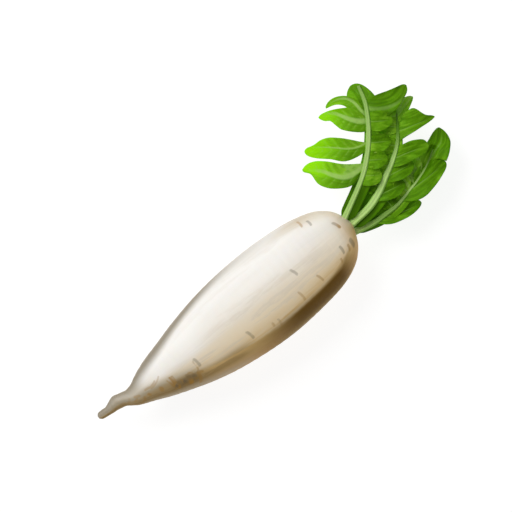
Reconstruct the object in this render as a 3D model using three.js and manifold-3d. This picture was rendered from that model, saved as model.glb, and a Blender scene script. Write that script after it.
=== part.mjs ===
// A daikon radish with three leaves, as pulled and washed, lying on its side. Millimetres, +Z up.
//
// +X runs along the root from the tail towards the crown, +Y is to its left, and the origin is the middle of
// the small flat spot under the radish's weight, on which it rests. The root is one solid. Each leaf is one
// solid too: a pale stalk that runs on as the leaf's rib, a wing of blade down both sides, and lobes cut back
// to the rib. The leaves lie over one another in three layers and never touch.
import * as THREE from "three";
import { mergeVertices } from "three/addons/utils/BufferGeometryUtils.js";
import Module from "manifold-3d";

const wasm = await Module();
wasm.setup();

// ---- Driving dimensions -------------------------------------------------------------------------------

const ROOT_LENGTH = 280; // tail tip to crown
const ROOT_RADIUS = 42; // at the thickest
const TAIL_TO_REST = 174; // from the tail tip to the middle of the flat spot, under the centre of mass
const FLAT_DEPTH = 1.2; // how much of the belly's curve is pressed flat
const ROOT_PITCH = 0.02; // rise of the axis per millimetre towards the crown
const TAIL_SHARE = 0.16; // of the root's length, over which the tail droops
const TAIL_DROOP = 3; // at the tail's tip

const BLADE = 0.9; // leaf blade thickness
const STALK_DEPTH_SHARE = 0.85; // a stalk's depth as a share of its width
const WING_SINK = 0.3; // how far below a stalk's middle its wing leaves it, as a share of the stalk's width
const WING_RISE = 0.12; // rise of a wing per millimetre out from the stalk
const CUP = 1.6; // how far a lobe's margins stand above its vein
const WAVE_HEIGHT = 1.1; // of a lobe's margins
const WAVES = 1.6; // of them along a lobe
const LOBE_PHASE = 0.37; // of a wave, from one lobe to the next
const MARGIN_PHASE = 0.4; // of a wave, from a lobe's left margin to its right
const TIP_CROWDING = 1.5; // a higher power sets the rows closer together at a lobe's tip
const FOOT_SHARE = 0.3; // of a lobe's length, over which it turns from lying along the rib to standing square
const TIP_ROUNDING = 12; // a higher power makes a blunter tip
const LEAST_HALF_WIDTH = 0.4; // of a lobe, at its tip
const FUSE_TOLERANCE = 0.02; // slivers smaller than this are cleaned away where lobes join

const SOCKET_GAP = 0.5; // clearance round each stalk where it sits in the crown
const SOCKET_SHARE = 0.2; // of a rib's length, which is well outside the crown

const ROOT_SIDES = 32;
const ROOT_RINGS = 52;
const STALK_SIDES = 8;
const STALK_STEPS = 18;
const STALK_CAP = 0.5; // how far a stalk's ends are drawn out to a point
const WING_STEPS = 16; // along a wing
const LOBE_STEPS = 9; // along a lobe
const LOBE_SPANS = 4; // across a lobe, from its right margin to its left

const DEGREE = Math.PI / 180;

// ---- Curves and solids --------------------------------------------------------------------------------

// A smooth curve through evenly spaced values, read at t from 0 to 1.
function along(values, t) {
  const last = values.length - 1;
  const place = Math.min(Math.max(t, 0), 1) * last;
  const i = Math.min(Math.floor(place), last - 1);
  const f = place - i;
  const [b, c] = [values[i], values[i + 1]];
  const before = i > 0 ? values[i - 1] : 2 * b - c;
  const after = i + 2 <= last ? values[i + 2] : 2 * c - b;
  const [slopeB, slopeC] = [(c - before) / 2, (after - b) / 2];
  const square = 3 * (c - b) - 2 * slopeB - slopeC;
  const cube = 2 * (b - c) + slopeB + slopeC;
  return b + slopeB * f + square * f ** 2 + cube * f ** 3;
}

// A closed three.js geometry as a solid that can be joined and cut.
function solidOf(geometry) {
  geometry.deleteAttribute("normal");
  geometry.deleteAttribute("uv");
  const merged = mergeVertices(geometry, 1e-4);
  return new wasm.Manifold(
    new wasm.Mesh({
      numProp: 3,
      vertProperties: merged.attributes.position.array,
      triVerts: new Uint32Array(merged.index.array),
    }),
  );
}

// A closed solid from its points and its triangles, which face out.
function solidFrom(points, triangles) {
  return solidOf(new THREE.BufferGeometry().setFromPoints(points).setIndex(triangles.flat()));
}

// A solid as a three.js geometry.
function geometryOf(solid) {
  const { vertProperties, triVerts } = solid.getMesh();
  const geometry = new THREE.BufferGeometry();
  geometry.setAttribute("position", new THREE.BufferAttribute(vertProperties, 3));
  geometry.setIndex(new THREE.BufferAttribute(triVerts, 1));
  geometry.computeVertexNormals();
  return geometry;
}

// A skin over rings of points, closed by a point at each end. The rings turn anticlockwise seen from the end.
function skinOver(rings, startPoint, endPoint) {
  const sides = rings[0].length;
  const points = [...rings.flat(), startPoint, endPoint];
  const start = points.length - 2;
  const end = points.length - 1;
  const lastRing = (rings.length - 1) * sides;
  const triangles = [];
  for (let side = 0; side < sides; side++) {
    const next = (side + 1) % sides;
    triangles.push([start, next, side]);
    triangles.push([end, lastRing + side, lastRing + next]);
    for (let here = 0; here < lastRing; here += sides) {
      const there = here + sides;
      triangles.push([here + side, here + next, there + next]);
      triangles.push([here + side, there + next, there + side]);
    }
  }
  return solidFrom(points, triangles);
}

// A thin blade: a grid of mid-surface points, thickened along its own normals and split alike on both faces.
// Its rows run outwards, and each row runs from the blade's right margin to its left.
function bladeFrom(grid) {
  const rows = grid.length;
  const columns = grid[0].length;
  const at = (row, column) =>
    grid[Math.min(Math.max(row, 0), rows - 1)][Math.min(Math.max(column, 0), columns - 1)].clone();
  const normalAt = (row, column) => {
    const out = at(row + 1, column).sub(at(row - 1, column));
    const across = at(row, column + 1).sub(at(row, column - 1));
    return out.cross(across).normalize();
  };
  const faceAt = (offset) =>
    grid.flatMap((line, row) =>
      line.map((_, column) => at(row, column).addScaledVector(normalAt(row, column), offset)),
    );
  const points = [...faceAt(BLADE / 2), ...faceAt(-BLADE / 2)];
  const top = (row, column) => row * columns + column;
  const under = (row, column) => rows * columns + top(row, column);

  const triangles = [];
  for (let row = 0; row + 1 < rows; row++) {
    for (let column = 0; column + 1 < columns; column++) {
      const corners = [[row, column], [row + 1, column], [row + 1, column + 1], [row, column + 1]];
      const [a, b, c, d] = corners.map((corner) => top(...corner));
      const [e, f, g, h] = corners.map((corner) => under(...corner));
      triangles.push([a, b, c], [a, c, d], [e, g, f], [e, h, g]);
    }
  }
  const rim = [];
  for (let row = 0; row + 1 < rows; row++) rim.push([row, 0]);
  for (let column = 0; column + 1 < columns; column++) rim.push([rows - 1, column]);
  for (let row = rows - 1; row > 0; row--) rim.push([row, columns - 1]);
  for (let column = columns - 1; column > 0; column--) rim.push([0, column]);
  rim.forEach((corner, place) => {
    const next = rim[(place + 1) % rim.length];
    triangles.push([top(...corner), under(...corner), under(...next)]);
    triangles.push([top(...corner), under(...next), top(...next)]);
  });
  return solidFrom(points, triangles);
}

// ---- The root -----------------------------------------------------------------------------------------

// Stations down the root: share of the length from the tail tip, share of the radius, and how far the
// centre stands to the left. The tail narrows, carries a small lump and turns to the left.
const ROOT_STATIONS = [
  [0, 0.035, 5.2],
  [0.008, 0.081, 5.2],
  [0.022, 0.092, 4.9],
  [0.036, 0.097, 4.55],
  [0.05, 0.118, 4.95],
  [0.064, 0.144, 5.65],
  [0.078, 0.161, 5.6],
  [0.092, 0.162, 4.6],
  [0.106, 0.18, 2.85],
  [0.12, 0.205, 1.1],
  [0.135, 0.236, 0.3],
  [0.152, 0.281, 0.3],
  [0.18, 0.364, 0.7],
  [0.226, 0.483, 0.2],
  [0.29, 0.612, -0.8],
  [0.36, 0.747, -1.15],
  [0.45, 0.879, -1.15],
  [0.55, 0.968, -1.05],
  [0.65, 1.0, -0.7],
  [0.745, 0.974, -0.55],
  [0.825, 0.914, -0.1],
  [0.885, 0.828, 0.6],
  [0.925, 0.726, 1.3],
  [0.955, 0.59, 1.7],
  [0.978, 0.42, 2.2],
  [0.993, 0.22, 2.5],
  [1.0, 0.06, 2.6],
];

// Height of the root's axis at x.
function axisHeight(x) {
  const intoTail = Math.max(0, 1 - (x + TAIL_TO_REST) / (TAIL_SHARE * ROOT_LENGTH));
  return ROOT_RADIUS - FLAT_DEPTH + ROOT_PITCH * x - TAIL_DROOP * intoTail ** 2;
}

function makeRoot(leaves) {
  const stations = ROOT_STATIONS.map(
    ([length, girth]) => new THREE.Vector2(girth * ROOT_RADIUS, length * ROOT_LENGTH),
  );
  const profile = new THREE.SplineCurve(stations).getPoints(ROOT_RINGS);
  const outline = [new THREE.Vector2(0, profile[0].y), ...profile, new THREE.Vector2(0, profile.at(-1).y)];
  const sway = ROOT_STATIONS.map(([, , left]) => left);

  const body = new THREE.LatheGeometry(outline, ROOT_SIDES);
  body.rotateZ(-Math.PI / 2).translate(-TAIL_TO_REST, 0, 0);
  const position = body.attributes.position;
  for (let i = 0; i < position.count; i++) {
    const ring = (i % outline.length) - 1;
    const x = position.getX(i);
    position.setY(i, position.getY(i) + along(sway, ring / ROOT_RINGS));
    position.setZ(i, position.getZ(i) + axisHeight(x));
  }

  const below = new THREE.BoxGeometry(2 * ROOT_LENGTH, 4 * ROOT_RADIUS, ROOT_RADIUS);
  below.translate(0, 0, -ROOT_RADIUS / 2);
  const rested = solidOf(body).subtract(solidOf(below));
  const sockets = leaves.map((leaf) => stalkSolid(ribOf(leaf), SOCKET_SHARE, SOCKET_GAP));
  return sockets.reduce((root, socket) => root.subtract(socket), rested);
}

// ---- The leaves ---------------------------------------------------------------------------------------

// The half-widths down one side of a lobe that is nowhere seen on its own.
const plain = (width) => [0.6, 0.85, 1.0, 1.0, 0.85, 0.6].map((share) => share * width);

// Each lobe leaves the rib at `at`, a share of the rib's length, heads `heading` degrees from +X in plan, and
// has its tip `reach` millimetres away, having turned `bend` degrees on the way. `left` and `right` are its
// half-widths at even steps from the rib to the tip, `arch` lifts its middle and `drop` lowers its tip.
const LEAVES = [
  {
    name: "leaf_upper",
    rib: [
      [97, 5.9, 44],
      [107, 11, 48],
      [128.5, 22.5, 55],
      [143.4, 32.1, 58.5],
      [158, 45.6, 60],
      [170.2, 60.7, 58],
      [180.1, 77.4, 55],
      [184.9, 92.9, 50.5],
    ],
    girth: [2.6, 2.5, 2.4, 2.4, 2.4, 2.3, 2.1, 1.5],
    wing: { from: 0.13, to: 0.94, left: [5.4, 5.6, 5.2, 4, 3.6, 3.4, 3], right: [8.5, 9, 10, 10, 10, 9, 5] },
    lobes: [
      {
        at: 0.42, heading: 140, reach: 53.4, bend: -45, arch: 3, drop: 15,
        left: [4, 8.3, 10.4, 11, 10.7, 8.2, 1.6, 3.6],
        right: [7, 9, 10.8, 12.3, 11.8, 9.5],
      },
      {
        at: 0.575, heading: 145.7, reach: 55.2, bend: -10, arch: 4, drop: 14,
        left: [3.5, 8.2, 10.5, 7.8, 6.7, 5.5],
        right: [3.5, 5.2, 7.5, 9.5, 10.8, 11.3, 9.6, 5.6, 5],
      },
      {
        at: 0.74, heading: 137.3, reach: 42.8, bend: 30, arch: 4, drop: 12,
        left: [9, 11.5, 12.8, 13.2, 12.9, 11.8, 8.5, 4.8, 4.6, 3.2],
        right: [1.5, 5.2, 7.3, 6, 4.6, 3],
      },
      {
        at: 0.79, heading: 134.4, reach: 35.9, bend: 95, arch: 3, drop: 10,
        left: [5, 8, 7.5, 4, 1.8, 1.2],
        right: [1, 1.6, 3.6, 4.6, 4.6, 3],
      },
      {
        at: 0.81, heading: 85.2, reach: 25.5, bend: 35, arch: -1, drop: 11,
        left: [4, 6, 8, 9.5, 9.5, 7.5],
        right: [4.5, 8, 11, 10.6, 9.6, 8.4, 7, 5],
      },
      {
        at: 0.84, heading: -11.6, reach: 40, bend: 5, arch: 2, drop: 7,
        left: [4, 4.6, 4.2, 3.4, 3, 3.5],
        right: [12, 15.5, 16.5, 14, 9.5, 6.5],
      },
      {
        at: 0.735, heading: -32.9, reach: 23.4, bend: 10, arch: 1, drop: 4,
        left: [7, 9, 9.5, 9, 7.5, 5],
        right: [7, 8.5, 9, 8, 6, 4.5],
      },
      {
        at: 0.6, heading: -32.4, reach: 22, bend: 10, arch: 1, drop: 4,
        left: [6, 6.5, 7, 7, 6.5, 5],
        right: [7.5, 9, 9, 8, 6, 4],
      },
      {
        at: 0.49, heading: -32.3, reach: 21, bend: 10, arch: 1, drop: 4,
        left: [7, 8, 8, 8, 7, 5],
        right: [7, 8, 8.5, 7.5, 6, 4],
      },
      {
        at: 0.385, heading: -34, reach: 19.6, bend: 10, arch: 1, drop: 4,
        left: [7, 8, 8, 7.5, 6.5, 5],
        right: [8, 9, 9, 8.5, 7, 5],
      },
    ],
  },
  {
    name: "leaf_middle",
    rib: [
      [97, 0.9, 39],
      [107, 1.7, 41.5],
      [125.8, 3.4, 46.5],
      [141.1, 8.4, 49],
      [155.2, 16.2, 50],
      [169.6, 24.1, 50],
      [181.5, 33.3, 49],
      [190.7, 44.7, 46],
      [196.6, 53.3, 43],
    ],
    girth: [2.8, 3, 3, 2.9, 2.6, 2.1, 1.7, 1.3, 0.8],
    wing: { from: 0.13, to: 0.97, left: [8, 9, 10, 11, 11, 10, 8], right: [8, 9, 10, 9, 6, 4, 3.5] },
    lobes: [
      {
        at: 0.96, heading: 14.1, reach: 23.3, bend: 0, arch: 1, drop: 5,
        left: [8, 10, 10, 8, 5.5, 3.5],
        right: [5, 5, 4.5, 3.5, 2.5, 1.5],
      },
      {
        at: 0.825, heading: -15.7, reach: 35.5, bend: 0, arch: 2, drop: 7,
        left: [3, 10.5, 13.6, 13.6, 5, 2.5],
        right: [9, 6.7, 5.4, 4, 2.7, 1.2],
      },
      {
        at: 0.62, heading: -17.1, reach: 33.8, bend: -10, arch: 2, drop: 6,
        left: [2, 8, 8.6, 9, 8.2, 8],
        right: [8, 8.4, 8, 7, 6, 4],
      },
      { at: 0.49, heading: -10.6, reach: 28, bend: 5, left: plain(8), right: plain(8), arch: 1, drop: 5 },
      { at: 0.35, heading: -11.8, reach: 27.5, bend: 5, left: plain(8), right: plain(8), arch: 1, drop: 4 },
      { at: 0.97, heading: 146.1, reach: 21.5, bend: 10, left: plain(9), right: plain(9), arch: 1, drop: 3 },
      { at: 0.86, heading: 139.9, reach: 21.5, bend: 10, left: plain(8), right: plain(8), arch: 1, drop: 3 },
      { at: 0.72, heading: 138.2, reach: 21.2, bend: 10, left: plain(8), right: plain(8), arch: 1, drop: 3 },
      { at: 0.57, heading: 136.8, reach: 19.7, bend: 10, left: plain(8), right: plain(8), arch: 1, drop: 3 },
      { at: 0.42, heading: 131.4, reach: 16.6, bend: 10, left: plain(8), right: plain(8), arch: 1, drop: 2 },
    ],
  },
  {
    name: "leaf_lower",
    rib: [
      [97, -3.9, 33],
      [107, -6.3, 34.5],
      [121.8, -9.7, 38],
      [136.6, -10.2, 40.5],
      [149.1, -9.9, 41.5],
      [164.1, -6.6, 40.5],
      [176.3, -3.8, 38],
      [190, 1.2, 34],
      [204, 9, 29],
    ],
    girth: [2.8, 2.9, 2.7, 2.3, 1.8, 1.3, 1.1, 1, 0.8],
    wing: { from: 0.13, to: 0.95, left: [8, 10, 12, 13, 12, 11, 8], right: [3.6, 5, 7.5, 7, 6, 6, 5] },
    lobes: [
      {
        at: 0.86, heading: 32.5, reach: 37.5, bend: 0, arch: 2, drop: 8,
        left: [9, 10, 8.5, 6, 4.6, 3],
        right: [14, 15, 15.5, 14.8, 13, 8],
      },
      {
        at: 0.61, heading: 1, reach: 43, bend: 10, arch: 2, drop: 9,
        left: [6, 9, 11, 12, 12, 11],
        right: [10, 12, 10.8, 9, 6.6, 5],
      },
      {
        at: 0.32, heading: -17, reach: 38, bend: 25, arch: 1, drop: 8,
        left: [5, 6, 7, 7.4, 7.2, 6],
        right: [7.5, 7.6, 6.9, 6, 4.6, 3],
      },
      { at: 0.75, heading: 80, reach: 26, bend: 10, left: plain(9), right: plain(9), arch: 1, drop: 2 },
      { at: 0.6, heading: 88, reach: 25, bend: 10, left: plain(9), right: plain(9), arch: 1, drop: 2 },
      { at: 0.44, heading: 92, reach: 19, bend: 10, left: plain(8), right: plain(8), arch: 1, drop: 2 },
    ],
  },
];

// The rib of a leaf at t: where it is, which way it runs, the level way to its left, and its half-width.
function ribOf(leaf) {
  const points = leaf.rib.map((point) => new THREE.Vector3(...point));
  const curve = new THREE.CatmullRomCurve3(points, false, "catmullrom", 0.5);
  return (t) => {
    const run = curve.getTangent(t);
    const left = new THREE.Vector3(-run.y, run.x, 0).normalize();
    return { centre: curve.getPoint(t), run, left, up: run.clone().cross(left), girth: along(leaf.girth, t) };
  };
}

// A leaf's stalk and rib from its foot to `until`, made `extra` thicker all round.
function stalkSolid(ribAt, until, extra) {
  const rings = [];
  for (let step = 0; step <= STALK_STEPS; step++) {
    const { centre, run, left, up, girth } = ribAt((step / STALK_STEPS) * until);
    if (step === 0) centre.addScaledVector(run, -extra);
    const ring = [];
    for (let side = 0; side < STALK_SIDES; side++) {
      const angle = (side / STALK_SIDES) * 2 * Math.PI;
      const point = centre.clone().addScaledVector(left, Math.cos(angle) * (girth + extra));
      ring.push(point.addScaledVector(up, Math.sin(angle) * (STALK_DEPTH_SHARE * girth + extra)));
    }
    rings.push(ring);
  }
  const foot = ribAt(0);
  const end = ribAt(until);
  return skinOver(
    rings,
    foot.centre.addScaledVector(foot.run, -STALK_CAP - extra),
    end.centre.addScaledVector(end.run, STALK_CAP),
  );
}

// The strip of blade down both sides of a rib.
function wingSolid(leaf, ribAt) {
  const { from, to, left, right } = leaf.wing;
  const grid = [];
  for (let step = 0; step <= WING_STEPS; step++) {
    const share = step / WING_STEPS;
    const place = ribAt(from + (to - from) * share);
    const line = [-1, -0.5, 0, 0.5, 1].map((across) => {
      const out = across * along(across > 0 ? left : right, share);
      const point = place.centre.clone().addScaledVector(place.left, out);
      point.z += WING_RISE * Math.abs(out) - WING_SINK * place.girth;
      return point;
    });
    grid.push(line);
  }
  return bladeFrom(grid);
}

// One lobe. Its vein is an arc in plan, its foot lies along the rib and climbs with it, and the rest stands
// square to the vein.
function lobeSolid(lobe, ribAt, order) {
  const foot = ribAt(lobe.at);
  const heading = lobe.heading * DEGREE;
  const bend = Math.max(lobe.bend, lobe.bend < 0 ? lobe.bend : 1) * DEGREE;
  const radius = lobe.reach / (2 * Math.sin(bend / 2));
  const toTip = new THREE.Vector3(Math.cos(heading), Math.sin(heading), 0);
  const toLeft = new THREE.Vector3(-Math.sin(heading), Math.cos(heading), 0);
  const leftwards = Math.sign(foot.run.dot(toLeft));
  const ribWay = new THREE.Vector3(foot.run.x, foot.run.y, 0).normalize().multiplyScalar(leftwards);
  const climb = (leftwards * foot.run.z) / Math.hypot(foot.run.x, foot.run.y);

  const grid = [];
  for (let step = 0; step <= LOBE_STEPS; step++) {
    const u = 1 - (1 - step / LOBE_STEPS) ** TIP_CROWDING;
    const turn = bend * (u - 0.5);
    const middle = foot.centre.clone();
    middle.addScaledVector(toTip, radius * (Math.sin(turn) + Math.sin(bend / 2)));
    middle.addScaledVector(toLeft, radius * (Math.cos(bend / 2) - Math.cos(turn)));
    middle.z += lobe.arch * 4 * u * (1 - u) - lobe.drop * u ** 2;
    const square = toTip.clone().multiplyScalar(-Math.sin(turn)).addScaledVector(toLeft, Math.cos(turn));
    const squared = Math.min(1, u / FOOT_SHARE);
    const sideways = ribWay.clone().lerp(square, squared).normalize();
    const line = [];
    for (let span = 0; span <= LOBE_SPANS; span++) {
      const v = (2 * span) / LOBE_SPANS - 1;
      const halfWidth = along(v < 0 ? lobe.right : lobe.left, u) * Math.sqrt(1 - u ** TIP_ROUNDING);
      const out = v * Math.max(halfWidth, LEAST_HALF_WIDTH);
      const point = middle.clone().addScaledVector(sideways, out);
      const phase = WAVES * u + LOBE_PHASE * order + (v < 0 ? MARGIN_PHASE : 0);
      const wave = WAVE_HEIGHT * Math.sin(2 * Math.PI * phase);
      point.z += (CUP + wave) * v ** 2 * Math.sin(Math.PI * u) + (1 - squared) * climb * out;
      line.push(point);
    }
    grid.push(line);
  }
  return bladeFrom(grid);
}

function makeLeaf(leaf) {
  const ribAt = ribOf(leaf);
  const whole = stalkSolid(ribAt, 1, 0).add(wingSolid(leaf, ribAt));
  const lobes = leaf.lobes.map((lobe, order) => lobeSolid(lobe, ribAt, order));
  const fused = lobes.reduce((blade, lobe) => blade.add(lobe), whole).simplify(FUSE_TOLERANCE);
  // Lobes that overlap can close off a pocket the size of a grain, which is filled: the outer skin is kept.
  return fused.decompose().sort((a, b) => b.volume() - a.volume())[0];
}

// ---- The radish ---------------------------------------------------------------------------------------

const skin = new THREE.MeshStandardMaterial({ color: "#efe9df", roughness: 0.45, metalness: 0 });
const foliage = new THREE.MeshStandardMaterial({ color: "#4f8a12", roughness: 0.55, metalness: 0 });

function part(name, solid, material) {
  const mesh = new THREE.Mesh(geometryOf(solid), material);
  mesh.name = name;
  return mesh;
}

const daikon = new THREE.Group();
daikon.add(part("root", makeRoot(LEAVES), skin));
for (const leaf of LEAVES) daikon.add(part(leaf.name, makeLeaf(leaf), foliage));

export default daikon;
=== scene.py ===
# %% [markdown]
# # A daikon radish and its leaves
#
# This notebook dresses a daikon radish that has just been pulled, washed and laid on a white table: a stout
# ivory root with a thin bent tail, and three lobed leaves fanning out of its crown. The frame is the packed
# model: its nodes say where everything is, and each piece below takes the place of one of them.

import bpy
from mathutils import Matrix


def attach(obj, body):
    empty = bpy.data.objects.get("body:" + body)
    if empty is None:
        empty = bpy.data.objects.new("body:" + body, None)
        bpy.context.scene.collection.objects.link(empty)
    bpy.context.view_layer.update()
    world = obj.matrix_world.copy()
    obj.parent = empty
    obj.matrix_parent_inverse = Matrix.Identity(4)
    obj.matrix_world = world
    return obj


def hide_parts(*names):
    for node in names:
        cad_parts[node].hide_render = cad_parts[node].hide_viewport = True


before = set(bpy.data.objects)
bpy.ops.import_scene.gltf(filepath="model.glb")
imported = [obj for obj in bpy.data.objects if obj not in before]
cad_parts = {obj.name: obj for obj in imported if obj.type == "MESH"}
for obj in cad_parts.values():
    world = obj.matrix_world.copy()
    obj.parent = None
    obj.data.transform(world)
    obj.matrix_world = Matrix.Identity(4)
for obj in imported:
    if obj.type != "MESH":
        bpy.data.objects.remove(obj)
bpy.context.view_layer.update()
print("nodes:", ", ".join(sorted(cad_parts)))

# %% [markdown]
# ## Millimetres
#
# The root and the leaves are measured in millimetres and turned into metres at the very end, because a maker
# thinks of a leaf blade as half a millimetre thick. The camera and the lamps are set in metres. The origin is
# the small flat spot under the root's weight.

# %% Millimetres
import math
import random

import bpy
import numpy as np
from mathutils import Vector

MM = 0.001
print("one millimetre is", MM, "of Blender's metres")

# %% [markdown]
# ## The camera
#
# The radish lies flat and is looked at from straight above, turned so that the tail points to the lower left
# and the leaves to the upper right. A long lens far away keeps the outline true: a short lens close up would
# swell the belly, which stands nearest to it. The turn is the angle between the root and the picture's lower
# edge, and the lens follows from how wide a strip fits in the picture at the height of the root's outline.

# %% Camera
ROOT_TURN = math.radians(38.15)
PICTURE_WIDTH = 0.4494
PICTURE_MIDDLE = (0.0227, 0.0313)
CAMERA_HEIGHT = 2.4
OUTLINE_HEIGHT = 0.041
FILM_WIDTH = 36
FAR_LIMIT = 20


def placed(name, data):
    """A new object in the scene, made from its data."""
    made = bpy.data.objects.new(name, data)
    bpy.context.scene.collection.objects.link(made)
    return made


lens = bpy.data.cameras.new("camera")
lens.sensor_width = FILM_WIDTH
lens.lens = FILM_WIDTH * CAMERA_HEIGHT / PICTURE_WIDTH
lens.clip_end = FAR_LIMIT
camera = placed("camera", lens)
camera.location = (*PICTURE_MIDDLE, OUTLINE_HEIGHT + CAMERA_HEIGHT)
camera.rotation_euler = (0, 0, -ROOT_TURN)
bpy.context.scene.camera = camera
print(f"lens {lens.lens:.0f} mm")

# %% [markdown]
# ## Smooth curves from a few values
#
# Every form here, from the swell of the root to the edge of a leaf lobe, is a handful of values read through
# one smooth curve. A Catmull-Rom curve passes through each value, so a value is simply what the radish
# measures at that place. Working on whole arrays at once keeps the fine meshes quick to make.

# %% Curve helpers
def along(values, t):
    """A smooth curve through evenly spaced values, read at t from 0 to 1. A row of values may be points."""
    values = np.asarray(values, float)
    last = len(values) - 1
    place = np.clip(t, 0, 1) * last
    i = np.minimum(np.floor(place).astype(int), last - 1)
    f = place - i
    if values.ndim > 1:
        f = f[..., None]
    before = np.concatenate([2 * values[:1] - values[1:2], values[:-1]])
    after = np.concatenate([values[1:], 2 * values[-1:] - values[-2:-1]])
    slopes = (after - before) / 2
    b, c, sb, sc = values[i], values[i + 1], slopes[i], slopes[i + 1]
    return b + sb * f + (3 * (c - b) - 2 * sb - sc) * f**2 + (2 * (b - c) + sb + sc) * f**3


def smooth(low, high, value):
    """0 at low, 1 at high, and an easy change between. low may be the greater."""
    share = np.clip((value - low) / (high - low), 0, 1)
    return share * share * (3 - 2 * share)


def unit(vectors):
    """The same directions, each one long."""
    return vectors / np.maximum(np.linalg.norm(vectors, axis=-1, keepdims=True), 1e-9)


print("halfway between 0 and 1:", along([0, 0, 1, 1], np.array(0.5)))

# %% [markdown]
# ## Surfaces from grids
#
# A plant skin is easiest to control as a grid of points: rows run along the growth, columns across or around
# it. One helper turns a grid into faces, and one closes a tube of rings at both ends. Sculpting would give
# the same surface, but could not be remade from numbers.

# %% Grid helpers
def grid_faces(rows, columns, first=0, closed=False, flip=False):
    """Quads over a grid of points whose numbers start at first, closed if its last column meets its first."""
    numbers = first + np.arange(rows * columns).reshape(rows, columns)
    beside = np.roll(numbers, -1, axis=1)
    if not closed:
        numbers, beside = numbers[:, :-1], beside[:, :-1]
    corners = [numbers[:-1], numbers[1:], beside[1:], beside[:-1]]
    if flip:
        corners = [corners[0], *corners[:0:-1]]
    return np.stack(corners, axis=-1).reshape(-1, 4).tolist()


def closed_tube(points, facts, sides, flip=False):
    """A tube of rings with a point added to close each end: its points, its facts and its faces."""
    rings = len(points) // sides
    faces = grid_faces(rings, sides, closed=True, flip=flip)
    start, end, last_ring = len(points), len(points) + 1, (rings - 1) * sides
    for side in range(sides):
        following = (side + 1) % sides
        a, b = (following, side) if flip else (side, following)
        faces.append((start, a, b))
        faces.append((end, last_ring + b, last_ring + a))
    points = np.vstack([points, points[:sides].mean(0), points[-sides:].mean(0)])
    facts = {name: np.append(values, values[[0, -1]]) for name, values in facts.items()}
    return points, facts, faces


print("a 3 by 3 grid has", len(grid_faces(3, 3)), "faces")

# %% [markdown]
# ## A piece from its points
#
# A mesh can hold more than its shape. Each point also keeps a few facts, such as how far down the root it is,
# and the finish reads them later. They are measured once, here, and stay true from every side.

# %% Piece helper
def make_piece(name, points, faces, facts, finishes, finish_of_face=None):
    """A smooth-shaded object from points in millimetres, with a number stored on each point for each fact."""
    mesh = bpy.data.meshes.new(name)
    mesh.from_pydata((np.asarray(points) * MM).tolist(), [], faces)
    for fact, values in facts.items():
        attribute = mesh.attributes.new(fact, "FLOAT", "POINT")
        attribute.data.foreach_set("value", np.asarray(values, np.float32))
    for finish in finishes:
        mesh.materials.append(finish)
    if finish_of_face is not None:
        mesh.polygons.foreach_set("material_index", finish_of_face)
    mesh.polygons.foreach_set("use_smooth", [True] * len(mesh.polygons))
    mesh.update()
    return placed(name, mesh)


print("one metre is", round(1 / MM), "of a piece's units")

# %% [markdown]
# ## Colours
#
# A maker's colour code such as f4efe6 says how bright red, green and blue look on a screen. Blender mixes
# light, so a code is first turned into amounts of light. Typed in as they are, all colours would come out too
# pale.

# %% Colour helper
def paint(code):
    """A shader's colour from a maker's colour code."""
    shares = [int(code[i : i + 2], 16) / 255 for i in (0, 2, 4)]
    light = [s / 12.92 if s <= 0.04045 else ((s + 0.055) / 1.055) ** 2.4 for s in shares]
    return (*light, 1.0)


print("ivory as light:", [round(c, 2) for c in paint("f4efe6")])

# %% [markdown]
# ## Shader maths as plain expressions
#
# A finish is a recipe such as "tan where it lay in the soil, but less towards the crown". Wiring that up node
# by node hides the recipe, so a small class wraps a socket and lets Python's own operators add the Math
# nodes. The numbers stay numbers until they meet a wire, so nothing is added that Python can work out.

# %% Wire
class Wire:
    """A value on its way through a material: one output socket and the finish it belongs to."""

    def __init__(self, finish, socket):
        self.finish = finish
        self.socket = socket

    def maths(self, operation, *values):
        return self.finish.node("ShaderNodeMath", {"operation": operation}, dict(enumerate(values)))

    def __add__(self, other):
        return self.maths("ADD", self, other)

    def __sub__(self, other):
        return self.maths("SUBTRACT", self, other)

    def __mul__(self, other):
        return self.maths("MULTIPLY", self, other)

    def __truediv__(self, other):
        return self.maths("DIVIDE", self, other)

    def __radd__(self, other):
        return self.maths("ADD", other, self)

    def __rsub__(self, other):
        return self.maths("SUBTRACT", other, self)

    def __rmul__(self, other):
        return self.maths("MULTIPLY", other, self)

    def __rtruediv__(self, other):
        return self.maths("DIVIDE", other, self)

    def __abs__(self):
        return self.maths("ABSOLUTE", self)

    def fraction(self):
        return self.maths("FRACT", self)

    def scaled(self, vector):
        return self.finish.node("ShaderNodeVectorMath", {"operation": "MULTIPLY"}, {0: self, 1: vector})

    def smooth(self, low, high):
        """0 at low, 1 at high, and an easy change between. low may be the greater."""
        sockets = {"Value": self, "From Min": min(low, high), "From Max": max(low, high)}
        sockets |= {"To Min": float(low > high), "To Max": float(low < high)}
        return self.finish.node("ShaderNodeMapRange", {"interpolation_type": "SMOOTHSTEP"}, sockets)

    def band(self, start, full, fading, gone):
        """1 from full to fading, and an easy fall to 0 at start and at gone."""
        return self.smooth(start, full) * self.smooth(gone, fading)


print(Wire.__doc__)

# %% [markdown]
# ## A finish in the making
#
# Colours are blended with Mix and vectors are scaled with Vector Math, because a Math node would turn a
# colour grey. Every node comes from one method that takes its type, its settings and what goes into its
# sockets, so a ramp, a noise or a bump is one line in a recipe. Colours are laid one over another, as glazes
# are, and each finish ends in one Principled surface.

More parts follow.
